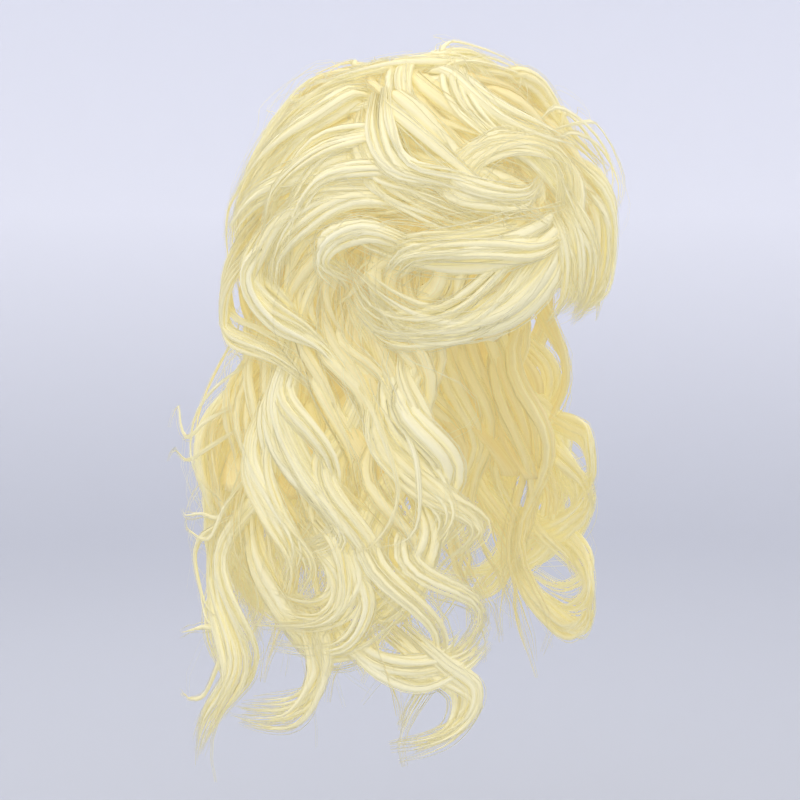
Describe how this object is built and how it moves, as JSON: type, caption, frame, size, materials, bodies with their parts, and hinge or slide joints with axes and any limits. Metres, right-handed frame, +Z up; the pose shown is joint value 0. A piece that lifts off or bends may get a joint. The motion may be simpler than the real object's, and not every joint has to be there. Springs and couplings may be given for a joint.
{
  "type": "curly wig",
  "caption": "Long curly wig: a hollow stretch cap with a high teased crown, a fringe swept to the temples and long waved locks that hang round an open face.",
  "frame": {"origin": "inside of the cap at the crown, where the top of the head meets it", "axes": "+Z up, the wearer faces -Y, +X is the wearer's left"},
  "size_m": [0.3299, 0.3623, 0.598],
  "materials": {
    "hair_fibre": "pale yellow synthetic fibre with a soft sheen",
    "cap_net": "matt elastic net with sewn rows"
  },
  "bodies": {
    "root": {"wig_cap": "cap_net", "crown_hair": "hair_fibre", "fringe_hair": "hair_fibre", "right_hair": "hair_fibre", "left_hair": "hair_fibre", "back_hair": "hair_fibre"}
  },
  "joints": []
}
